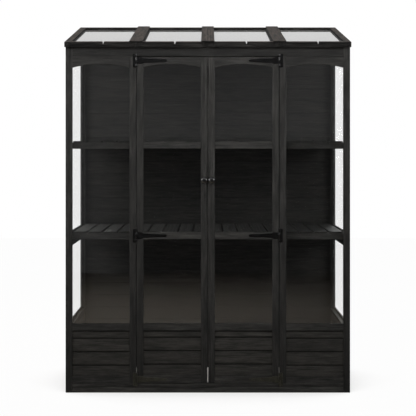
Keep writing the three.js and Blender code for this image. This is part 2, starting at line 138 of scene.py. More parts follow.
floor_bm = bmesh.new()
bmesh.ops.create_grid(floor_bm, x_segments=1, y_segments=1, size=1)
floor_matrix = Matrix.Translation((0, 1.6, -0.5 * mm)) @ Matrix.Diagonal((7, 6.5, 1, 1))
bmesh.ops.transform(floor_bm, matrix=floor_matrix, verts=floor_bm.verts)
floor_mesh = bpy.data.meshes.new("floor")
floor_bm.to_mesh(floor_mesh)
floor_bm.free()
floor = bpy.data.objects.new("floor", floor_mesh)
bpy.context.scene.collection.objects.link(floor)
paper = bpy.data.materials.new("floor_paper")
paper.use_nodes = True
tree = paper.node_tree
tree.nodes.remove(tree.nodes["Principled BSDF"])
path = node(tree, "ShaderNodeLightPath")
seen = scalar(tree, "MAXIMUM", path.outputs["Is Camera Ray"], straight_through(tree, path))
spot = node(tree, "ShaderNodeTexCoord").outputs["Object"]
floor_spot = node(tree, "ShaderNodeSeparateXYZ", {0: spot}).outputs
# Painted light and shade in the floor's paper: a warm pool in front of the cabinet, brighter
# towards the left and darker near the cabinet.
painted_light_pool = graded(tree, floor_spot["Y"], (-5.4, -2.2), (0.0, 0.84), "SMOOTHSTEP")
painted_shade_close = graded(tree, floor_spot["Y"], (-2.0, -1.0), (1.0, 0.4))
painted_light_leftward = graded(tree, floor_spot["X"], (-0.9, 0.9), (2.1, 0.85))
painted_light_pool = scalar(tree, "MULTIPLY", painted_light_pool, scalar(tree, "MULTIPLY", painted_shade_close, painted_light_leftward))
warm_white = (1.0, 0.88, 0.74)
matt = node(tree, "ShaderNodeBsdfDiffuse", {"Color": scaled(tree, warm_white, painted_light_pool)})
white = node(tree, "ShaderNodeEmission", {"Color": (1, 1, 1, 1), "Strength": 1.0})
shelter = node(tree, "ShaderNodeAmbientOcclusion", {"Distance": 0.8}).outputs["AO"]
shade = graded(tree, shelter, (0.05, 0.72), (0.14, 0.98), "SMOOTHSTEP")
share = scalar(tree, "MULTIPLY", seen, shade)
mixed = node(tree, "ShaderNodeMixShader", {0: share, 1: matt.outputs[0], 2: white.outputs[0]})
tree.links.new(mixed.outputs[0], tree.nodes["Material Output"].inputs["Surface"])
floor_mesh.materials.append(paper)


# Lamps. A soft box high on each side in front and one further off in the middle, two upright strips
# that only put lines of light on the knobs and hinges, one behind for the back, one high in front,
# a small one outside the left side window for the shelves and a large one over the roof.
def soft_box(name, place, aim, width, height, watts, spread=180):
    light = bpy.data.lights.new(name, "AREA")
    light.shape = "RECTANGLE"
    light.size = width
    light.size_y = height
    light.energy = watts
    light.spread = math.radians(spread)
    lamp = bpy.data.objects.new(name, light)
    lamp.location = place
    lamp.rotation_euler = (Vector(aim) - Vector(place)).to_track_quat("-Z", "Y").to_euler()
    bpy.context.scene.collection.objects.link(lamp)
    return lamp


soft_box("left_soft_box", (-2.8, -3.0, 2.9), (0, 0, 1.45), 1.3, 1.3, watts=5.4, spread=50)
soft_box("right_soft_box", (2.8, -3.0, 2.9), (0, 0, 1.45), 1.3, 1.3, watts=4.3, spread=50)
fill = soft_box("front_soft_box", (0, -7.0, 1.3), (0, 0, 1.75), 2.2, 1.4, watts=9.2, spread=34)
fill.visible_glossy = False
fill.visible_transmission = False
for side in (-1, 1):
    place = (4.3 * side, -2.7, 2.4)
    strip = soft_box("strip_soft_box", place, (0, 0, 0.9), 0.9, 1.6, watts=26, spread=90)
    strip.visible_diffuse = False
behind = soft_box("back_soft_box", (0.8, 4.4, 1.5), (0, 0.3, 0.8), 2.0, 1.6, watts=36, spread=90)
behind.visible_camera = False
behind.visible_transmission = False
soft_box("high_soft_box", (0, -2.0, 3.3), (0, -0.2, 1.0), 2.6, 1.6, watts=12)
soft_box("shelf_soft_box", (-2.2, 0.1, 1.5), (-0.45, 0, 0.68), 0.6, 0.6, watts=4, spread=36)
soft_box("roof_soft_box", (0, 0.6, 4.6), (0, 0, 0.8), 3.4, 2.6, watts=26)


# Fixed front panels. Sawn and planed softwood, stained black, rebated behind a 5 mm lip for pane
# and boards, with the rails glued between the stiles. The corner stile runs from ground to roof,
# and every front stile darkens towards its foot: painted shade, as the light falls off downwards.
def noise(tree, spot, scale, detail, roughness=0.5):
    inputs = {"Vector": spot, "Scale": scale, "Detail": detail, "Roughness": roughness}
    return node(tree, "ShaderNodeTexNoise", inputs).outputs[0]


def multiplied(tree, first, second):
    inputs = {0: first, 1: second}
    return node(tree, "ShaderNodeVectorMath", inputs, operation="MULTIPLY").outputs[0]


def ramp(tree, value, *stops):
    """A blend between two stops, each a position and a colour."""
    blend = node(tree, "ShaderNodeValToRGB", {"Fac": value})
    for element, (position, colour) in zip(blend.color_ramp.elements, stops):
        element.position = position
        element.color = (*colour, 1)
    return blend.outputs["Color"]


def stained_wood(name, dark, light, roughness, mottling=0.42, sheen=0.28, faded_and_top_lit=None):
    """Stain over streaks and rings that run with the grain. Faded tints what faces the sky: painted
    light from above over sun-bleached wood.
    """
    material = bpy.data.materials.new(name)
    material.use_nodes = True
    tree = material.node_tree
    grain = node(tree, "ShaderNodeAttribute", attribute_name="grain").outputs["Vector"]
    tone = node(tree, "ShaderNodeAttribute", attribute_name="tone").outputs["Fac"]
    drawn = multiplied(tree, grain, (0.06, 1, 1))
    streaks = noise(tree, drawn, scale=230.0, detail=4.0, roughness=0.62)
    fibre = noise(tree, drawn, scale=1100.0, detail=2.0, roughness=0.55)
    stretched = multiplied(tree, grain, (0.14, 1, 1))
    mottle = noise(tree, stretched, scale=60.0, detail=4.0, roughness=0.66)
    rings = node(
        tree,
        "ShaderNodeTexWave",
        {
            "Vector": drawn,
            "Scale": 78.0,
            "Distortion": 5.0,
            "Detail": 2.0,
            "Detail Scale": 0.3,
            "Detail Roughness": 0.55,
        },
        wave_type="RINGS",
        rings_direction="X",
        wave_profile="SAW",
    ).outputs["Fac"]
    figure = scalar(tree, "MULTIPLY", rings, 0.24)
    figure = scalar(tree, "ADD", figure, scalar(tree, "MULTIPLY", streaks, 0.58))
    figure = scalar(tree, "ADD", figure, scalar(tree, "MULTIPLY", fibre, 0.28))
    colour = ramp(tree, figure, (0.42, dark), (0.66, light))
    patches = graded(tree, mottle, (0.34, 0.66), (1 - mottling, 1 + mottling))
    shade = scaled(tree, colour, scalar(tree, "MULTIPLY", tone, patches))
    # Faces turned to the sky are tinted lighter and warmer: painted light from above over
    # sun-bleached wood.
    if faded_and_top_lit:
        facing = node(tree, "ShaderNodeTexCoord").outputs["Normal"]
        upward = node(tree, "ShaderNodeSeparateXYZ", {0: facing}).outputs["Z"]
        painted_top_light = graded(tree, upward, (0.5, 0.95), (0.0, 1.0))
        tints = {0: painted_top_light, 6: (1, 1, 1, 1), 7: (*faded_and_top_lit, 1)}
        bleach_and_top_light = node(tree, "ShaderNodeMix", tints, data_type="RGBA").outputs[2]
        shade = multiplied(tree, shade, bleach_and_top_light)
    gloss = graded(tree, figure, (0.3, 0.8), (roughness + 0.08, roughness - 0.08))
    relief = scalar(tree, "ADD", scalar(tree, "MULTIPLY", fibre, 0.7), streaks)
    bump = node(tree, "ShaderNodeBump", {"Height": relief, "Strength": 0.4, "Distance": 0.5 * mm})
    shader = tree.nodes["Principled BSDF"]
    tree.links.new(shade, shader.inputs["Base Color"])
    tree.links.new(gloss, shader.inputs["Roughness"])
    tree.links.new(bump.outputs[0], shader.inputs["Normal"])
    shader.inputs["IOR"].default_value = 1.45
    shader.inputs["Specular IOR Level"].default_value = sheen
    return material


soaked_black = (0.0058, 0.0056, 0.0052)
worn_black = (0.035, 0.034, 0.0316)
front_wood = stained_wood("black_stained_front", soaked_black, worn_black, 0.72, mottling=0.6)

chance = random.Random(11)
weld = 1e-6
flat_angle = 0.01
sharp_angle = 0.5
shortest_vee = 50 * mm


def faces_at(piece, level):
    return [f for f in piece.faces if all(abs(v.co.z - level) < weld for v in f.verts)]


def thicken(piece, faces, level):
    grown = bmesh.ops.extrude_face_region(piece, geom=faces)["geom"]
    for part in grown:
        if isinstance(part, bmesh.types.BMVert):
            part.co.z = level


def bevelled(piece, edges, width, segments=2, clamp=True):
    bmesh.ops.bevel(
        piece,
        geom=edges,
        offset=width,
        affect="EDGES",
        segments=segments,
        profile=0.5,
        material=-1,
        clamp_overlap=clamp,
    )


def eased(piece, width, segments=2):
    sharp = [e for e in piece.edges if e.calc_face_angle(0) > sharp_angle]
    bevelled(piece, sharp, width, segments)


def merge_into(bm, part):
    carried = bpy.data.meshes.new("carried")
    part.to_mesh(carried)
    part.free()
    bm.from_mesh(carried)
    bpy.data.meshes.remove(carried)


def arched_face(piece, corners, near, rise):
    """A face between corners whose lower edge rises in an arc."""
    (left, foot), (right, _), (_, top) = corners[:3]
    half = (right - left) / 2
    radius = (half * half + rise * rise) / (2 * rise)
    start = piece.verts.new((right, foot, near))
    bmesh.ops.spin(
        piece,
        geom=[start],
        cent=(left + half, foot + rise - radius, near),
        axis=(0, 0, 1),
        angle=2 * math.asin(half / radius),
        steps=14,
    )
    raised = bmesh.ops.extrude_edge_only(piece, edges=piece.edges[:])["geom"]
    for part in raised:
        if isinstance(part, bmesh.types.BMVert):
            part.co.y = top


def inside(corners, spot):
    turns = []
    for i, (a, b) in enumerate(corners):
        c, d = corners[(i + 1) % len(corners)]
        turns.append((c - a) * (spot.y - b) - (d - b) * (spot.x - a))
    return min(turns) > 0 or max(turns) < 0


def thicken_round(piece, rebates, shelf, far):
    """Thickens up to the shelf of the rebates and, outside them, on to the far face."""
    thicken(piece, piece.faces[:], shelf)
    for rebate in rebates:
        for i, (a, b) in enumerate(rebate):
            c, d = rebate[(i + 1) % len(rebate)]
            level = faces_at(piece, shelf)
            edges = {e for f in level for e in f.edges}
            verts = {v for f in level for v in f.verts}
            bmesh.ops.bisect_plane(
                piece,
                geom=[*level, *edges, *verts],
                dist=weld,
                plane_co=(a, b, 0),
                plane_no=(b - d, c - a, 0),
            )
    proud = [
        f
        for f in faces_at(piece, shelf)
        if not any(inside(rebate, f.calc_center_median()) for rebate in rebates)
    ]
    thicken(piece, proud, far)


def cropped(piece, through, away):
    cut = bmesh.ops.bisect_plane(
        piece,
        geom=[*piece.verts, *piece.edges, *piece.faces],
        dist=weld,
        plane_co=through,
        plane_no=away,
        clear_outer=True,
    )["geom_cut"]
    bmesh.ops.contextual_create(piece, geom=cut)


def grained(piece, along, stain_and_shade, painted_foot_shade):
    """Each timber comes from a log of its own, so that its figure and tone are its own."""
    grain = piece.verts.layers.float_vector.new("grain")
    tone = piece.verts.layers.float.new("tone")
    log = Vector(
        (chance.uniform(0, 30), chance.uniform(-0.05, 0.05), chance.uniform(0.02, 0.1))
    )
    own_tone = chance.uniform(0.86, 1.14) * stain_and_shade
    for vert in piece.verts:
        vert[grain] = Vector((vert.co[along], vert.co[1 - along], vert.co.z)) + log
        # Stiles darken towards the ground here: painted shade, as the light falls off downwards.
        height = vert.co.y / front_height
        vert[tone] = own_tone * (1 - painted_foot_shade * (1 - height))


def timber(
    bm,
    place,
    corners,
    near,
    far,
    along,
    rebates=(),
    shelf=None,
    arch=0.0,
    crop=None,
    vee=0.0,
    ease=1.1 * mm,
    stain_and_shade=1.0,
    painted_foot_shade=0.0,
):
    """One timber: (across, up) corners between two depths, with its grain along 0 or up 1."""
    piece = bmesh.new()
    if arch:
        arched_face(piece, corners, near, arch)
    else:
        piece.faces.new([piece.verts.new((a, b, near)) for a, b in corners])
    if rebates:
        thicken_round(piece, rebates, shelf, far)
    else:
        thicken(piece, piece.faces[:], far)
    bmesh.ops.dissolve_limit(piece, angle_limit=flat_angle, verts=piece.verts, edges=piece.edges)
    if crop:
        cropped(piece, *crop)
    bmesh.ops.recalc_face_normals(piece, faces=piece.faces)
    if vee:
        long_edges = [
            e
            for e in piece.edges
            if e.calc_face_angle(0) > sharp_angle
            and abs(e.verts[0].co[along] - e.verts[1].co[along]) > shortest_vee
        ]
        bevelled(piece, long_edges, vee, segments=1, clamp=False)
    eased(piece, ease)
    grained(piece, along, stain_and_shade, painted_foot_shade)
    bmesh.ops.transform(piece, matrix=place, verts=piece.verts)
    bmesh.ops.recalc_face_normals(piece, faces=piece.faces)
    merge_into(bm, piece)


def wood_bmesh():
    bm = bmesh.new()
    bm.verts.layers.float_vector.new("grain")
    bm.verts.layers.float.new("tone")
    return bm


def piece_from(name, bm, material):
    mesh = bpy.data.meshes.new(name)
    bm.to_mesh(mesh)
    bm.free()
    mesh.materials.append(material)
    piece = bpy.data.objects.new(name, mesh)
    bpy.context.scene.collection.objects.link(piece)
    return piece


def rectangle(left, right, foot, top):
    return [
        (left * mm, foot * mm),
        (right * mm, foot * mm),
        (right * mm, top * mm),
        (left * mm, top * mm),
    ]


rebate_reach = 10


def bay(opening, play=0.0):
    """An opening of a frame with the rebate around it, less the play of what lies in there."""
    left, right, foot, top = opening
    grown = rebate_reach - play
    return left - grown, right + grown, foot - grown, top + grown


lip = 5 * mm
thickness = 25
depth = 580
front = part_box("left_front_frame")[0].y
back = front + depth * mm
front_height = 1458 * mm
pitch = math.radians(11.8)
slope = math.tan(pitch)
roof_cut = ((0, front_height, 0), (0, 1, -slope))


def front_place(side):
    return Matrix(((side, 0, 0, 0), (0, 0, 1, front), (0, 1, 0, 0), (0, 0, 0, 1)))


half_width = 600
stile = 28
seam = 302.5
joint_play = 0.3
plinth_top = 38.2
header_foot = 1418
header_sawn = 1470
foot_rail_top = 67
sill_foot = 261.5
sill_top = 291
arch_foot = 1370
arch_rise = 16
panel_foot, panel_head = plinth_top + joint_play, header_foot - joint_play
seam_edge, corner_edge = seam + stile, half_width - stile
front_low_bay = (seam_edge, corner_edge, foot_rail_top, sill_foot)
front_high_bay = (seam_edge, corner_edge, sill_top, arch_foot + arch_rise)
front_timbers = {
    "stile": {"along": 1, "stain_and_shade": 0.9, "painted_foot_shade": 0.42},
    "rail": {"along": 0, "stain_and_shade": 0.95},
    "arch": {"along": 0, "stain_and_shade": 0.74, "arch": arch_rise * mm},
}
sides = (("left", -1), ("right", 1))
for word, side in sides:
    place = front_place(side)
    bm = wood_bmesh()
    rebates = [rectangle(*bay(opening)) for opening in (front_low_bay, front_high_bay)]
    members = (
        ("stile", rectangle(corner_edge, half_width, 0, header_sawn), roof_cut),
        ("stile", rectangle(seam, seam_edge, panel_foot, panel_head), None),
        ("rail", rectangle(seam_edge, corner_edge, panel_foot, foot_rail_top), None),
        ("rail", rectangle(seam_edge, corner_edge, sill_foot, sill_top), None),
        ("arch", rectangle(seam_edge, corner_edge, arch_foot, panel_head), None),
    )
    for kind, corners, crop in members:
        look = {"rebates": rebates, "shelf": lip, "crop": crop, **front_timbers[kind]}
        timber(bm, place, corners, 0, thickness * mm, **look)
    piece = piece_from(f"{word}_front_frame_timbers", bm, front_wood)
    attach(piece, "cabinet")
    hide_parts(f"{word}_front_frame")

# Header and plinth. Two rails of the same stock, screwed between the corner stiles over and under
# the front panels. The header's top is planed to the pitch of the roof.
rail_end = corner_edge - joint_play
header = wood_bmesh()
corners = rectangle(-rail_end, rail_end, header_foot, header_sawn)
timber(header, front_place(1), corners, 0, thickness * mm, 0, crop=roof_cut, stain_and_shade=0.52)
header_piece = piece_from("front_header_board", header, front_wood)
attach(header_piece, "cabinet")
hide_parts("front_header_rail")
plinth = wood_bmesh()
corners = rectangle(-rail_end, rail_end, 0, plinth_top)
timber(plinth, front_place(1), corners, 0, thickness * mm, 0, stain_and_shade=1.25)
plinth_piece = piece_from("front_plinth_board", plinth, front_wood)
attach(plinth_piece, "cabinet")
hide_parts("front_plinth_rail")

# Side panels. The same frame stock with a wide middle rail that carries the lower shelf and a top
# rail that follows the roof. They stand between the front and the back panels.
side_wood = stained_wood("black_stained_side", soaked_black, worn_black, 0.74, sheen=0.08)
side_thickness = 21
side_inset = 4
side_start = thickness + joint_play
side_end = depth - side_start
side_left, side_right = side_start + stile, side_end - stile
middle_foot, middle_top = 608, 673
side_low_bay = (side_left, side_right, foot_rail_top, sill_foot)
side_middle_bay = (side_left, side_right, sill_top, middle_foot)
side_high_rebate = (side_left - rebate_reach, side_right + rebate_reach, middle_top - rebate_reach)
roof_rail = stile * mm / math.cos(pitch)
roof_reach = rebate_reach * mm / math.cos(pitch)


def side_place(side):
    across = side * (half_width - side_inset) * mm
    return Matrix(((0, 0, -side, across), (1, 0, 0, front), (0, 1, 0, 0), (0, 0, 0, 1)))


def roof_line(from_front):
    return front_height + from_front * slope


def sloping(left, right, foot, below):
    """An outline whose top lies below the roof line. Without a foot it is a rail under the roof."""
    left, right = left * mm, right * mm
    left_foot, right_foot = foot * mm, foot * mm
    if foot < 0:
        left_foot, right_foot = roof_line(left) - roof_rail, roof_line(right) - roof_rail
    return [
        (left, left_foot),
        (right, right_foot),
        (right, roof_line(right) - below),
        (left, roof_line(left) - below),
    ]


for word, side in sides:
    place = side_place(side)
    bm = wood_bmesh()
    rebates = [
        rectangle(*bay(side_low_bay)),
        rectangle(*bay(side_middle_bay)),
        sloping(*side_high_rebate, roof_rail - roof_reach),
    ]
    members = (
        (sloping(side_start, side_left, 0, 0), 1),
        (sloping(side_right, side_end, 0, 0), 1),
        (rectangle(side_left, side_right, 0, foot_rail_top), 0),
        (rectangle(side_left, side_right, sill_foot, sill_top), 0),
        (rectangle(side_left, side_right, middle_foot, middle_top), 0),
        (sloping(side_left, side_right, -1, 0), 0),
    )
    for corners, along in members:
        timber(bm, place, corners, 0, side_thickness * mm, along, rebates, lip)
    piece = piece_from(f"{word}_side_frame_timbers", bm, side_wood)
    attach(piece, "cabinet")
    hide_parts(f"{word}_side_frame")


# Back panels. Two frames side by side, closed with boards from the foot rail to the top rail,
# which is planed to the pitch of the roof like the header.
def back_place(side):
    return Matrix(((side, 0, 0, 0), (0, 0, -1, back), (0, 1, 0, 0), (0, 0, 0, 1)))


back_sawn = 1590
back_edge = 28.15
back_head = roof_line((depth - thickness) * mm) / mm - stile
back_bay = (back_edge, corner_edge, foot_rail_top, back_head)
back_cut = ((0, roof_line(depth * mm), 0), (0, 1, slope))
for word, side in sides:
    place = back_place(side)
    bm = wood_bmesh()
    rebates = [rectangle(*bay(back_bay))]
    members = (
        (rectangle(0, back_edge, 0, back_sawn), 1, back_cut),
        (rectangle(corner_edge, half_width, 0, back_sawn), 1, back_cut),
        (rectangle(back_edge, corner_edge, 0, foot_rail_top), 0, None),
        (rectangle(back_edge, corner_edge, back_head, back_sawn), 0, back_cut),
    )
    for corners, along, crop in members:
        timber(bm, place, corners, 0, thickness * mm, along, rebates, lip, crop=crop)
    piece = piece_from(f"{word}_back_frame_timbers", bm, side_wood)
    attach(piece, "cabinet")
    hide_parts(f"{word}_back_frame")

# Tongue-and-groove boards. Planed boards with a V on both edges of both faces, stacked in the
# rebate behind the lip: in the foot of each front, door and side panel with a narrow one on top,
# and all the way up the back, where a darker tone is painted shade for the inside of the cabinet.
# The tongues show as the floor of a narrow slot between them, painted near black as its shade.
board_wood = stained_wood(
    "black_stained_boards", (0.0072, 0.0069, 0.0062), (0.0395, 0.0375, 0.0332), 0.74
)
board_face = 5.3 * mm
board_back = board_face + 10 * mm
tongue = (board_face + 5 * mm, board_face + 8 * mm)
tongue_below, tongue_above = 2.5, 4
bay_play = 0.8
board_step = 57
board_rows = 27
wall_joint, door_joint, narrow_joint = 57, 61.5, 258.5
wide_boards = 4
open_joints = {"slot": 2.3, "vee": 1.3 * mm, "tone": 1}
# The back boards' darker tone is painted shade for the inside of the cabinet.
tight_joints = {"slot": 0.6, "vee": 0.8 * mm, "tone": 0.62}
door_gap, door_edge = 1.5, 300
door_foot, door_head = 41, 1415
door_rail = 30
door_left, door_right = door_gap + stile, door_edge - stile
door_low_bay = (door_left, door_right, door_foot + door_rail, sill_foot)


def board_wall(bm, place, area, joints, slot, vee, tone):
    left, right, foot, top = area
    narrowest = 3
    shown = [joint for joint in joints if foot + narrowest < joint < top - narrowest]
    levels = [foot - slot, *shown, top + slot]
    for low, high in zip(levels, levels[1:]):
        corners = rectangle(left, right, low + slot, high - slot)
        look = {"vee": vee, "ease": 0.3 * mm, "stain_and_shade": tone}
        timber(bm, place, corners, board_face, board_back, 0, **look)
    for joint in shown:
        corners = rectangle(left, right, joint - tongue_below, joint + tongue_above)
        # The tongues are near black: painted shade in the slot between the boards.
        timber(bm, place, corners, *tongue, 0, ease=0.2 * mm, stain_and_shade=0.03)


for word, side in sides:
    walls = (
        ("front", "cabinet", front_place(side), front_low_bay, wall_joint),
        ("side", "cabinet", side_place(side), side_low_bay, wall_joint),
        ("back", "cabinet", back_place(side), back_bay, wall_joint),
        ("door", f"{word}_door", front_place(side), door_low_bay, door_joint),
    )
    for wall, body, place, opening, lowest_joint in walls:
        bm = wood_bmesh()
        joints = [lowest_joint + board_step * row for row in range(board_rows)]
        look = tight_joints
        if wall != "back":
            joints.insert(wide_boards, narrow_joint)
            look = open_joints
        board_wall(bm, place, bay(opening, bay_play), joints, **look)
        piece = piece_from(f"{word}_{wall}_wall_boards", bm, board_wood)
        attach(piece, body)
        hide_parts(f"{word}_{wall}_boards")

# Shelves. Eighteen thin slats from front to back, nailed on two long rails that are joined by
# cross bearers. The ends of the slats show over the front rail.
shelf_wood = stained_wood(
    "black_stained_shelf", (0.0075, 0.0072, 0.0067), (0.034, 0.0325, 0.03), 0.8, sheen=0.18
)
flat_place = Matrix.Translation((0, front, 0))
shelf_end = 574.7
shelf_rail, shelf_rail_height = 20, 27
rail_starts = (26.2, 534.7)
bearer_half = 10
bearer_middles = (-563.7, -506, -394, -206, -94, 94, 206, 394, 506, 563.7)
bearer_drop, bearer_height = 2, 23
slats, slat_step, slat_half, slat_height, slat_inset = 18, 64, 27.5, 6, 1
bearer_start, bearer_end = rail_starts[0] + shelf_rail, rail_starts[1]
slat_start, slat_end = rail_starts[0] + slat_inset, rail_starts[1] + shelf_rail - slat_inset
for shelf in ("lower", "upper"):
    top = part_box(f"{shelf}_shelf")[1].z / mm
    bm = wood_bmesh()
    rail_top = top - slat_height
    rail_foot = rail_top - shelf_rail_height
    for start in rail_starts:
        corners = rectangle(-shelf_end, shelf_end, start, start + shelf_rail)
        timber(bm, flat_place, corners, rail_foot * mm, rail_top * mm, 0)
    bearer_top = rail_top - bearer_drop
    bearer_foot = bearer_top - bearer_height
    for middle in bearer_middles:
        left, right = middle - bearer_half, middle + bearer_half
        corners = rectangle(left, right, bearer_start, bearer_end)
        timber(bm, flat_place, corners, bearer_foot * mm, bearer_top * mm, 1)
    for i in range(slats):
        middle = (i - (slats - 1) / 2) * slat_step
        corners = rectangle(middle - slat_half, middle + slat_half, slat_start, slat_end)
        timber(bm, flat_place, corners, rail_top * mm, top * mm, 1, ease=1.2 * mm, stain_and_shade=0.45)
    piece = piece_from(f"{shelf}_shelf_timbers", bm, shelf_wood)
    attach(piece, "cabinet")
    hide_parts(f"{shelf}_shelf")

# Doors. Frames like the fixed panels, with an arched head rail and two cross rails that lie in
# front of the shelves.
door_wood = stained_wood(
    "black_stained_door", (0.0062, 0.006, 0.0056), (0.037, 0.036, 0.0334), 0.7, mottling=0.6
)
# The door stiles also darken towards the ground: painted shade, as the light falls off downwards.
door_timbers = {
    "stile": {"along": 1, "stain_and_shade": 0.98, "painted_foot_shade": 0.48},
    "rail": {"along": 0, "stain_and_shade": 1.1},
    "arch": {"along": 0, "stain_and_shade": 0.86, "arch": arch_rise * mm},
}
rail_feet = (door_foot, sill_foot, 647, 1029)
bay_tops = (*rail_feet[1:], arch_foot + arch_rise)
for word, side in sides:
    place = front_place(side)
    bm = wood_bmesh()
    rebates = []
    members = [
        ("stile", rectangle(door_gap, door_left, door_foot, door_head)),
        ("stile", rectangle(door_right, door_edge, door_foot, door_head)),
    ]
    for rail_low, bay_top in zip(rail_feet, bay_tops):
        rail_high = rail_low + door_rail
        rebates.append(rectangle(*bay((door_left, door_right, rail_high, bay_top))))
        members.append(("rail", rectangle(door_left, door_right, rail_low, rail_high)))
    members.append(("arch", rectangle(door_left, door_right, arch_foot, door_head)))
    for kind, corners in members:
        look = {"rebates": rebates, "shelf": lip, **door_timbers[kind]}
        timber(bm, place, corners, 0, thickness * mm, **look)
    piece = piece_from(f"{word}_door_frame_timbers", bm, door_wood)
    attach(piece, f"{word}_door")
    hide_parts(f"{word}_door_frame")


# Panes. Clear acrylic sheets, 3 mm thick, held in the rebates. A lamp's light passes through them,
# and a faint haze and ripple keep them from being perfect.
def clear_sheet(name, roughness, haze, solid):
    material = bpy.data.materials.new(name)
    material.use_nodes = True
    tree = material.node_tree
    spot = node(tree, "ShaderNodeTexCoord").outputs["Object"]
    ripple = noise(tree, spot, scale=7.0, detail=1.0)
    dust = noise(tree, spot, scale=26.0, detail=5.0)
    bump = node(tree, "ShaderNodeBump", {"Height": ripple, "Strength": 0.04, "Distance": mm})
    glass = tree.nodes["Principled BSDF"]
    glass.inputs["Base Color"].default_value = (0.985, 0.988, 0.985, 1)
    glass.inputs["IOR"].default_value = 1.49
    glass.inputs["Transmission Weight"].default_value = 1.0
    glass.inputs["Alpha"].default_value = solid
    hazy = graded(tree, dust, (0.35, 0.75), (roughness, roughness + haze))
    tree.links.new(hazy, glass.inputs["Roughness"])
    tree.links.new(bump.outputs[0], glass.inputs["Normal"])
    shadow = node(tree, "ShaderNodeLightPath").outputs["Is Shadow Ray"]
    open_way = node(tree, "ShaderNodeBsdfTransparent", {"Color": (0.9, 0.91, 0.9, 1)})
    shaders = {0: shadow, 1: glass.outputs[0], 2: open_way.outputs[0]}
    mixed = node(tree, "ShaderNodeMixShader", shaders)
    tree.links.new(mixed.outputs[0], tree.nodes["Material Output"].inputs["Surface"])
    return material


clear = clear_sheet("clear_acrylic", 0.004, 0.02, 1.0)
side_clear = clear_sheet("clear_side_acrylic", 0.01, 0.02, 0.08)
sheet_thickness = 3 * mm
pane_reach = rebate_reach - bay_play


def sheet_from(name, bm, material):
    bevelled(bm, bm.edges[:], 0.3 * mm, segments=1, clamp=False)
    return piece_from(name, bm, material)


for word, side in sides:
    for wall, body, sheet in (
        ("front", "cabinet", clear),
        ("side_lower", "cabinet", side_clear),
        ("door_lower", f"{word}_door", clear),
        ("door_middle", f"{word}_door", clear),
        ("door_upper", f"{word}_door", clear),
    ):
        lo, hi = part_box(f"{word}_{wall}_pane")
        bm = bmesh.new()
        bmesh.ops.create_cube(bm, size=1)
        size = Matrix.Diagonal((*(hi - lo), 1))
        bmesh.ops.transform(bm, matrix=Matrix.Translation((lo + hi) / 2) @ size, verts=bm.verts)
        piece = sheet_from(f"{word}_{wall}_clear_sheet", bm, sheet)
        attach(piece, body)
        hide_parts(f"{word}_{wall}_pane")
    pane_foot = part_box(f"{word}_side_upper_pane")[0].z / mm
    pane_drop = roof_rail - pane_reach * mm / math.cos(pitch)
    bm = bmesh.new()
    corners = sloping(side_left - pane_reach, side_right + pane_reach, pane_foot, pane_drop)
    bm.faces.new([bm.verts.new((a, b, board_face)) for a, b in corners])
    thicken(bm, bm.faces[:], board_face + sheet_thickness)
    bmesh.ops.transform(bm, matrix=side_place(side), verts=bm.verts)
    bmesh.ops.recalc_face_normals(bm, faces=bm.faces)
    piece = sheet_from(f"{word}_side_upper_clear_sheet", bm, side_clear)
    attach(piece, "cabinet")
    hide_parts(f"{word}_side_upper_pane")


# T-hinges. Pressed steel, powder-coated black: a cross plate on the fixed panel and a tapered
# strap on the door rail, turning on a riveted pin. Countersunk screws hold both leaves, and the
# bottom pair has a lighter, warmer coat: a painted reflection of the pale floor.
def powder_coat(name, colour, roughness, sheen=0.4):
    material = bpy.data.materials.new(name)
    material.use_nodes = True
    tree = material.node_tree
    spot = node(tree, "ShaderNodeTexCoord").outputs["Object"]
    orange_peel = noise(tree, spot, scale=900.0, detail=3.0)
    wear = noise(tree, spot, scale=60.0, detail=4.0)
    dull, bright = [[part * factor for part in colour] for factor in (0.7, 1.5)]
    tint = ramp(tree, wear, (0.35, dull), (0.7, bright))
    rough = graded(tree, wear, (0.3, 0.7), (roughness - 0.03, roughness + 0.04))
    skin = {"Height": orange_peel, "Strength": 0.08, "Distance": 0.1 * mm}
    bump = node(tree, "ShaderNodeBump", skin)
    shader = tree.nodes["Principled BSDF"]
    tree.links.new(tint, shader.inputs["Base Color"])
    tree.links.new(rough, shader.inputs["Roughness"])
    tree.links.new(bump.outputs[0], shader.inputs["Normal"])
    shader.inputs["IOR"].default_value = 1.5
    shader.inputs["Specular IOR Level"].default_value = sheen
    return material


black_coat = powder_coat("black_powder_coat", (0.003, 0.003, 0.0032), 0.19, 0.3)
# Lighter and warmer coat for the bottom pair: a painted reflection of the pale floor.
floor_reflection_coat = powder_coat("floor_reflection_black_powder_coat", (0.0245, 0.024, 0.0168), 0.34, 0.3)
knuckle = 4 * mm
pin_radius = 1.8 * mm
pin_across = 301.25 * mm
pin_line = front - knuckle - joint_play * mm
leaf_back = knuckle
leaf_front = knuckle - 2 * mm
strap_knuckle, pin_end = 14, 28.5
plate_knuckle = (14.5, 28.4)
half_plate = ((0, 14.6), (4.6, 14.6), (4.6, 0), (15, 0), (15, 26.5), (13, 28.5), (0, 28.5))
half_strap = ((0, 14), (24, 14), (31, 9.5), (123, 5))
plate_screws = [(10, up) for up in (-21, -7, 7, 21)]
strap_screws = ((14, 7.5), (14, -7.5), (40, 0), (78, 0), (114, 0))
leaf_head_radius = 2.4 * mm
leaf_head_face = leaf_front - 0.05 * mm


def mirrored(part):
    whole = [*part.verts, *part.edges, *part.faces]
    bmesh.ops.mirror(part, geom=whole, axis="Y", merge_dist=weld)
    bmesh.ops.remove_doubles(part, verts=part.verts, dist=weld)


def press_leaf(bm, part):
    bmesh.ops.recalc_face_normals(part, faces=part.faces)
    thicken(part, part.faces[:], leaf_back)
    bmesh.ops.recalc_face_normals(part, faces=part.faces)
    eased(part, 0.4 * mm)
    merge_into(bm, part)


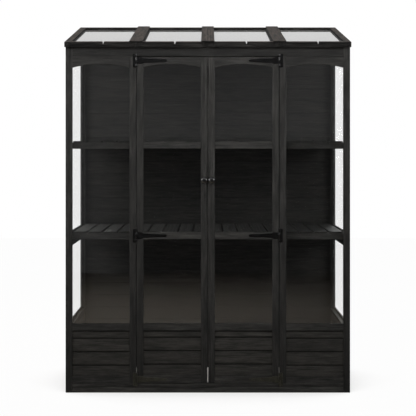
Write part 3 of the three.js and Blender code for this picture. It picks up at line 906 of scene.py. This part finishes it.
def cross_leaf(bm):
    part = bmesh.new()
    part.faces.new([part.verts.new((a * mm, b * mm, leaf_front)) for a, b in half_plate])
    mirrored(part)
    bmesh.ops.dissolve_limit(part, angle_limit=flat_angle, verts=part.verts, edges=part.edges)
    press_leaf(bm, part)


def tapered_leaf(bm):
    part = bmesh.new()
    verts = [part.verts.new((a * mm, b * mm, leaf_front)) for a, b in half_strap]
    for first, second in zip(verts, verts[1:]):
        part.edges.new((first, second))
    tip = half_strap[-1][0] * mm
    bmesh.ops.spin(
        part,
        geom=[verts[-1]],
        cent=(tip, 0, leaf_front),
        axis=(0, 0, -1),
        angle=math.pi / 2,
        steps=6,
    )
    lowered = bmesh.ops.extrude_edge_only(part, edges=part.edges[:])["geom"]
    for found in lowered:
        if isinstance(found, bmesh.types.BMVert):
            found.co.y = 0
    mirrored(part)
    bmesh.ops.dissolve_degenerate(part, dist=weld, edges=part.edges)
    press_leaf(bm, part)


def knuckle_tube(bm, low, high, radius):
    part = bmesh.new()
    bmesh.ops.create_cone(
        part, cap_ends=True, segments=32, radius1=radius, radius2=radius, depth=(high - low) * mm
    )
    turn = Matrix.Rotation(-math.pi / 2, 4, "X")
    bmesh.ops.transform(part, matrix=turn, verts=part.verts)
    bmesh.ops.translate(part, vec=(0, (high + low) / 2 * mm, 0), verts=part.verts)
    eased(part, 0.35 * mm)
    for face in part.faces:
        face.smooth = True
    merge_into(bm, part)


def screw_head(bm, across, up, face, radius):
    """A countersunk head with a cross recess, facing -Z of the piece's own frame."""
    rim, dish, arm, core, taper, sink = 0.18, 0.1, 0.62, 0.24, 0.7, 0.42
    part = bmesh.new()
    bmesh.ops.create_circle(part, cap_ends=True, segments=16, radius=radius)
    head = part.faces[:]
    bmesh.ops.inset_region(part, faces=head, thickness=radius * rim, depth=radius * dish)
    bmesh.ops.inset_region(part, faces=head, thickness=radius * rim, depth=0)
    recess = head[0]
    for vert in recess.verts:
        quarter = math.atan2(vert.co.y, vert.co.x) * 2 / math.pi
        on_arm = abs(quarter - round(quarter)) < 0.1
        vert.co.xy = vert.co.xy.normalized() * radius * (arm if on_arm else core)
    sunk = bmesh.ops.extrude_discrete_faces(part, faces=[recess])["faces"][0]
    for vert in sunk.verts:
        vert.co.xy *= taper
        vert.co.z -= radius * sink
    turned = Matrix.Rotation(chance.uniform(0, 1.5), 4, "Z") @ Matrix.Rotation(math.pi, 4, "X")
    bmesh.ops.transform(part, matrix=turned, verts=part.verts)
    bmesh.ops.translate(part, vec=(across, up, face), verts=part.verts)
    merge_into(bm, part)


def hinge_place(side, towards, height):
    return Matrix(
        (
            (towards, 0, 0, side * pin_across),
            (0, 0, 1, pin_line),
            (0, 1, 0, height),
            (0, 0, 0, 1),
        )
    )


def hinge_leaf(name, bm, screws, place, coat):
    for across, up in screws:
        screw_head(bm, across * mm, up * mm, leaf_head_face, leaf_head_radius)
    bmesh.ops.transform(bm, matrix=place, verts=bm.verts)
    bmesh.ops.recalc_face_normals(bm, faces=bm.faces)
    return piece_from(name, bm, coat)


for word, side in sides:
    for position in ("top", "middle", "bottom"):
        lo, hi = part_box(f"{word}_{position}_hinge_plate")
        height = (lo.z + hi.z) / 2
        # The bottom pair takes the coat with the painted floor reflection.
        coat = floor_reflection_coat if position == "bottom" else black_coat
        plate = bmesh.new()
        cross_leaf(plate)
        low, high = plate_knuckle
        knuckle_tube(plate, low, high, knuckle)
        knuckle_tube(plate, -high, -low, knuckle)
        knuckle_tube(plate, -pin_end, pin_end, pin_radius)
        place = hinge_place(side, side, height)
        name = f"{word}_{position}_hinge_cross_plate"
        piece = hinge_leaf(name, plate, plate_screws, place, coat)
        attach(piece, "cabinet")
        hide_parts(f"{word}_{position}_hinge_plate")
        strap = bmesh.new()
        tapered_leaf(strap)
        knuckle_tube(strap, -strap_knuckle, strap_knuckle, knuckle)
        place = hinge_place(side, -side, height)
        name = f"{word}_{position}_hinge_tapered_strap"
        piece = hinge_leaf(name, strap, strap_screws, place, coat)
        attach(piece, f"{word}_door")
        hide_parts(f"{word}_{position}_hinge_strap")

# Frame screws. Blackened countersunk screws hold the front rails of the shelves to their bearers
# and the corner stiles to the side frames behind them.
screws = bmesh.new()
head_radius = 3.2 * mm
head_height = 0.1
stile_screws = (60, 330, 640, 1010, 1377, 1430)
stile_middle = half_width - 13
for shelf in ("lower", "upper"):
    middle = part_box(f"{shelf}_shelf")[1].z - (slat_height + shelf_rail_height / 2) * mm
    face = (rail_starts[0] - head_height) * mm
    for across in bearer_middles[1:-1]:
        screw_head(screws, across * mm, middle, face, head_radius)
for _, side in sides:
    across = side * stile_middle * mm
    for up in stile_screws:
        screw_head(screws, across, up * mm, -head_height * mm, head_radius)
bmesh.ops.transform(screws, matrix=front_place(1), verts=screws.verts)
bmesh.ops.recalc_face_normals(screws, faces=screws.faces)
screws_piece = piece_from("frame_screws", screws, black_coat)
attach(screws_piece, "cabinet")

# Door knobs. Turned hardwood under thick black gloss, screwed on from behind the stile. The
# profile runs from the foot on the stile to the flat face, as radius and distance.
knob_gloss = powder_coat("black_gloss_knob", (0.0028, 0.0028, 0.0028), 0.05, 0.95)
profile = (
    (0, 0),
    (8, 0),
    (8, 2.2),
    (7.2, 3.2),
    (5.5, 5.4),
    (5.3, 8),
    (6.2, 10.4),
    (8.9, 12.6),
    (11.8, 14.9),
    (13.4, 17.2),
    (14, 19.8),
    (13.8, 22.2),
    (12.9, 24.4),
    (11.2, 26.2),
    (8.8, 27.4),
    (6, 27.9),
    (0, 28),
)
for word, side in sides:
    lo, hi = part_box(f"{word}_door_knob")
    bm = bmesh.new()
    verts = [bm.verts.new((radius * mm, -length * mm, 0)) for radius, length in profile]
    for first, second in zip(verts, verts[1:]):
        bm.edges.new((first, second))
    bmesh.ops.spin(
        bm,
        geom=[*bm.verts, *bm.edges],
        cent=(0, 0, 0),
        axis=(0, 1, 0),
        angle=2 * math.pi,
        steps=48,
        use_merge=True,
    )
    bmesh.ops.remove_doubles(bm, verts=bm.verts, dist=weld)
    foot = ((lo.x + hi.x) / 2, hi.y, (lo.z + hi.z) / 2)
    bmesh.ops.translate(bm, vec=foot, verts=bm.verts)
    bmesh.ops.recalc_face_normals(bm, faces=bm.faces)
    for face in bm.faces:
        face.smooth = True
    piece = piece_from(f"{word}_turned_knob", bm, knob_gloss)
    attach(piece, f"{word}_door")
    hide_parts(f"{word}_door_knob")


# Magnetic catch and strikes. A moulded block with two magnets, screwed behind the header, and a
# small plated plate on the back of each door head.
def plated_steel(name):
    material = bpy.data.materials.new(name)
    material.use_nodes = True
    tree = material.node_tree
    spot = node(tree, "ShaderNodeTexCoord").outputs["Object"]
    brushed = multiplied(tree, spot, (1, 1, 0.08))
    lines = noise(tree, brushed, scale=2400.0, detail=2.0)
    tint = ramp(tree, lines, (0.0, (0.42, 0.42, 0.43)), (1.0, (0.62, 0.62, 0.62)))
    rough = graded(tree, lines, (0.0, 1.0), (0.26, 0.42))
    shader = tree.nodes["Principled BSDF"]
    tree.links.new(tint, shader.inputs["Base Color"])
    tree.links.new(rough, shader.inputs["Roughness"])
    shader.inputs["Metallic"].default_value = 1.0
    return material


def refinished(name, material):
    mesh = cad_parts[name].data
    mesh.materials.clear()
    mesh.materials.append(material)


refinished("door_magnet_catch", powder_coat("black_moulded_plastic", (0.02, 0.02, 0.021), 0.5))
zinc = plated_steel("zinc_plated_steel")
for word, side in sides:
    refinished(f"{word}_door_strike_plate", zinc)

# Roof frames. Four glazed frames side by side on the cabinet, lighter and warmer on top: painted
# light from above over sun-bleached wood. Their panes lie under a deep lip, and a notch sawn
# through the front rail of each lets the rain run off the pane.
roof_wood = stained_wood(
    "black_stained_roof",
    (0.0016, 0.0015, 0.0014),
    (0.0185, 0.0177, 0.0165),
    0.74,
    mottling=0.9,
    sheen=0.16,
    faded_and_top_lit=(3.0, 2.25, 1.82),
)
roof_place = (
    Matrix.Translation((0, front, front_height + joint_play * mm / math.cos(pitch)))
    @ Matrix.Rotation(pitch, 4, "X")
)
on_edge = Matrix(((1, 0, 0, 0), (0, 0, 1, 0), (0, 1, 0, 0), (0, 0, 0, 1)))
overhang = 15
eaves, ridge = -overhang, depth / math.cos(pitch) + overhang
roof_frames, frame_step, frame_half = 4, 302, 150.5
rake = 28
seat_inset = rake - rebate_reach
frame_top = 22
lip_foot = 13
pane_top = 12.7
drain_offset, drain_top_half, drain_foot_half = 12, 4, 2
overrun = 5
for i in range(roof_frames):
    middle = (i - (roof_frames - 1) / 2) * frame_step
    left, right = middle - frame_half, middle + frame_half
    rail_left, rail_right = left + rake, right - rake
    bm = wood_bmesh()
    seat = [
        rectangle(left + seat_inset, right - seat_inset, eaves + seat_inset, ridge - seat_inset)
    ]
    members = (
        (rectangle(left, rail_left, eaves, ridge), 1),
        (rectangle(rail_right, right, eaves, ridge), 1),
        (rectangle(rail_left, rail_right, ridge - rake, ridge), 0),
    )
    for corners, along in members:
        timber(bm, roof_place, corners, frame_top * mm, 0, along, seat, lip_foot * mm)
    drain = middle + drain_offset
    notch = (
        (drain + drain_top_half, frame_top),
        (drain + drain_foot_half, pane_top),
        (drain - drain_foot_half, pane_top),
        (drain - drain_top_half, frame_top),
    )
    sawn = [(across * mm, up * mm) for across, up in notch]
    *start, end = rectangle(rail_left, rail_right, 0, frame_top)
    seat = [rectangle(left, right, -overrun, lip_foot)]
    place = roof_place @ on_edge
    near, far, shelf = eaves * mm, (eaves + rake) * mm, (eaves + seat_inset) * mm
    timber(bm, place, [*start, *sawn, end], near, far, 0, seat, shelf)
    piece = piece_from(f"roof_frame_timbers_{i + 1}", bm, roof_wood)
    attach(piece, "cabinet")
    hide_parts(f"roof_frame_{i + 1}")

# Roof battens. A thin board of the same stock, painted lighter on top like the frames, over each
# joint between two roof frames, held down by pairs of countersunk screws.
screws = bmesh.new()
battens = roof_frames - 1
batten_half, batten_nose = 28, 6
batten_foot = frame_top + joint_play
batten_top = batten_foot + 5
head_radius = 2.8 * mm
head_height = 0.05
screw_rows = (10, 200, 400, 585)
screw_pair = (-14, 14)
for i in range(battens):
    middle = (i - (battens - 1) / 2) * frame_step
    bm = wood_bmesh()
    corners = rectangle(middle - batten_half, middle + batten_half, eaves - batten_nose, ridge)
    timber(bm, roof_place, corners, batten_foot * mm, batten_top * mm, 1, ease=1 * mm)
    piece = piece_from(f"roof_joint_batten_{i + 1}", bm, roof_wood)
    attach(piece, "cabinet")
    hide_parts(f"roof_batten_{i + 1}")
    face = -(batten_top + head_height) * mm
    for along in screw_rows:
        for across in screw_pair:
            screw_head(screws, (middle + across) * mm, -along * mm, face, head_radius)
upturned = roof_place @ Matrix.Rotation(math.pi, 4, "X")
bmesh.ops.transform(screws, matrix=upturned, verts=screws.verts)
bmesh.ops.recalc_face_normals(screws, faces=screws.faces)
screws_piece = piece_from("batten_screws", screws, black_coat)
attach(screws_piece, "cabinet")


# Roof panes. Milky polycarbonate that lets soft light through and mirrors the sky at a low angle.
# They lie loose in the seats of the roof frames, under the lip.
def milky_sheet(name):
    material = bpy.data.materials.new(name)
    material.use_nodes = True
    tree = material.node_tree
    spot = node(tree, "ShaderNodeTexCoord").outputs["Object"]
    cloud = noise(tree, spot, scale=9.0, detail=4.0)
    tint = ramp(tree, cloud, (0.3, (0.3, 0.29, 0.285)), (0.75, (0.36, 0.35, 0.345)))
    rough = graded(tree, cloud, (0.3, 0.75), (0.03, 0.07))
    shader = tree.nodes["Principled BSDF"]
    tree.links.new(tint, shader.inputs["Base Color"])
    tree.links.new(rough, shader.inputs["Roughness"])
    shader.inputs["IOR"].default_value = 1.5
    shader.inputs["Transmission Weight"].default_value = 0.45
    return material


milky = milky_sheet("milky_polycarbonate")
pane_inset = seat_inset + bay_play
pane_half = frame_half - pane_inset
for i in range(roof_frames):
    middle = (i - (roof_frames - 1) / 2) * frame_step
    left, right = middle - pane_half, middle + pane_half
    bm = bmesh.new()
    corners = rectangle(left, right, eaves + pane_inset, ridge - pane_inset)
    under = pane_top * mm - sheet_thickness
    bm.faces.new([bm.verts.new((a, b, under)) for a, b in corners])
    thicken(bm, bm.faces[:], pane_top * mm)
    bmesh.ops.transform(bm, matrix=roof_place, verts=bm.verts)
    bmesh.ops.recalc_face_normals(bm, faces=bm.faces)
    eased(bm, 0.3 * mm, segments=1)
    piece = piece_from(f"roof_milky_sheet_{i + 1}", bm, milky)
    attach(piece, "cabinet")
    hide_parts(f"roof_pane_{i + 1}")
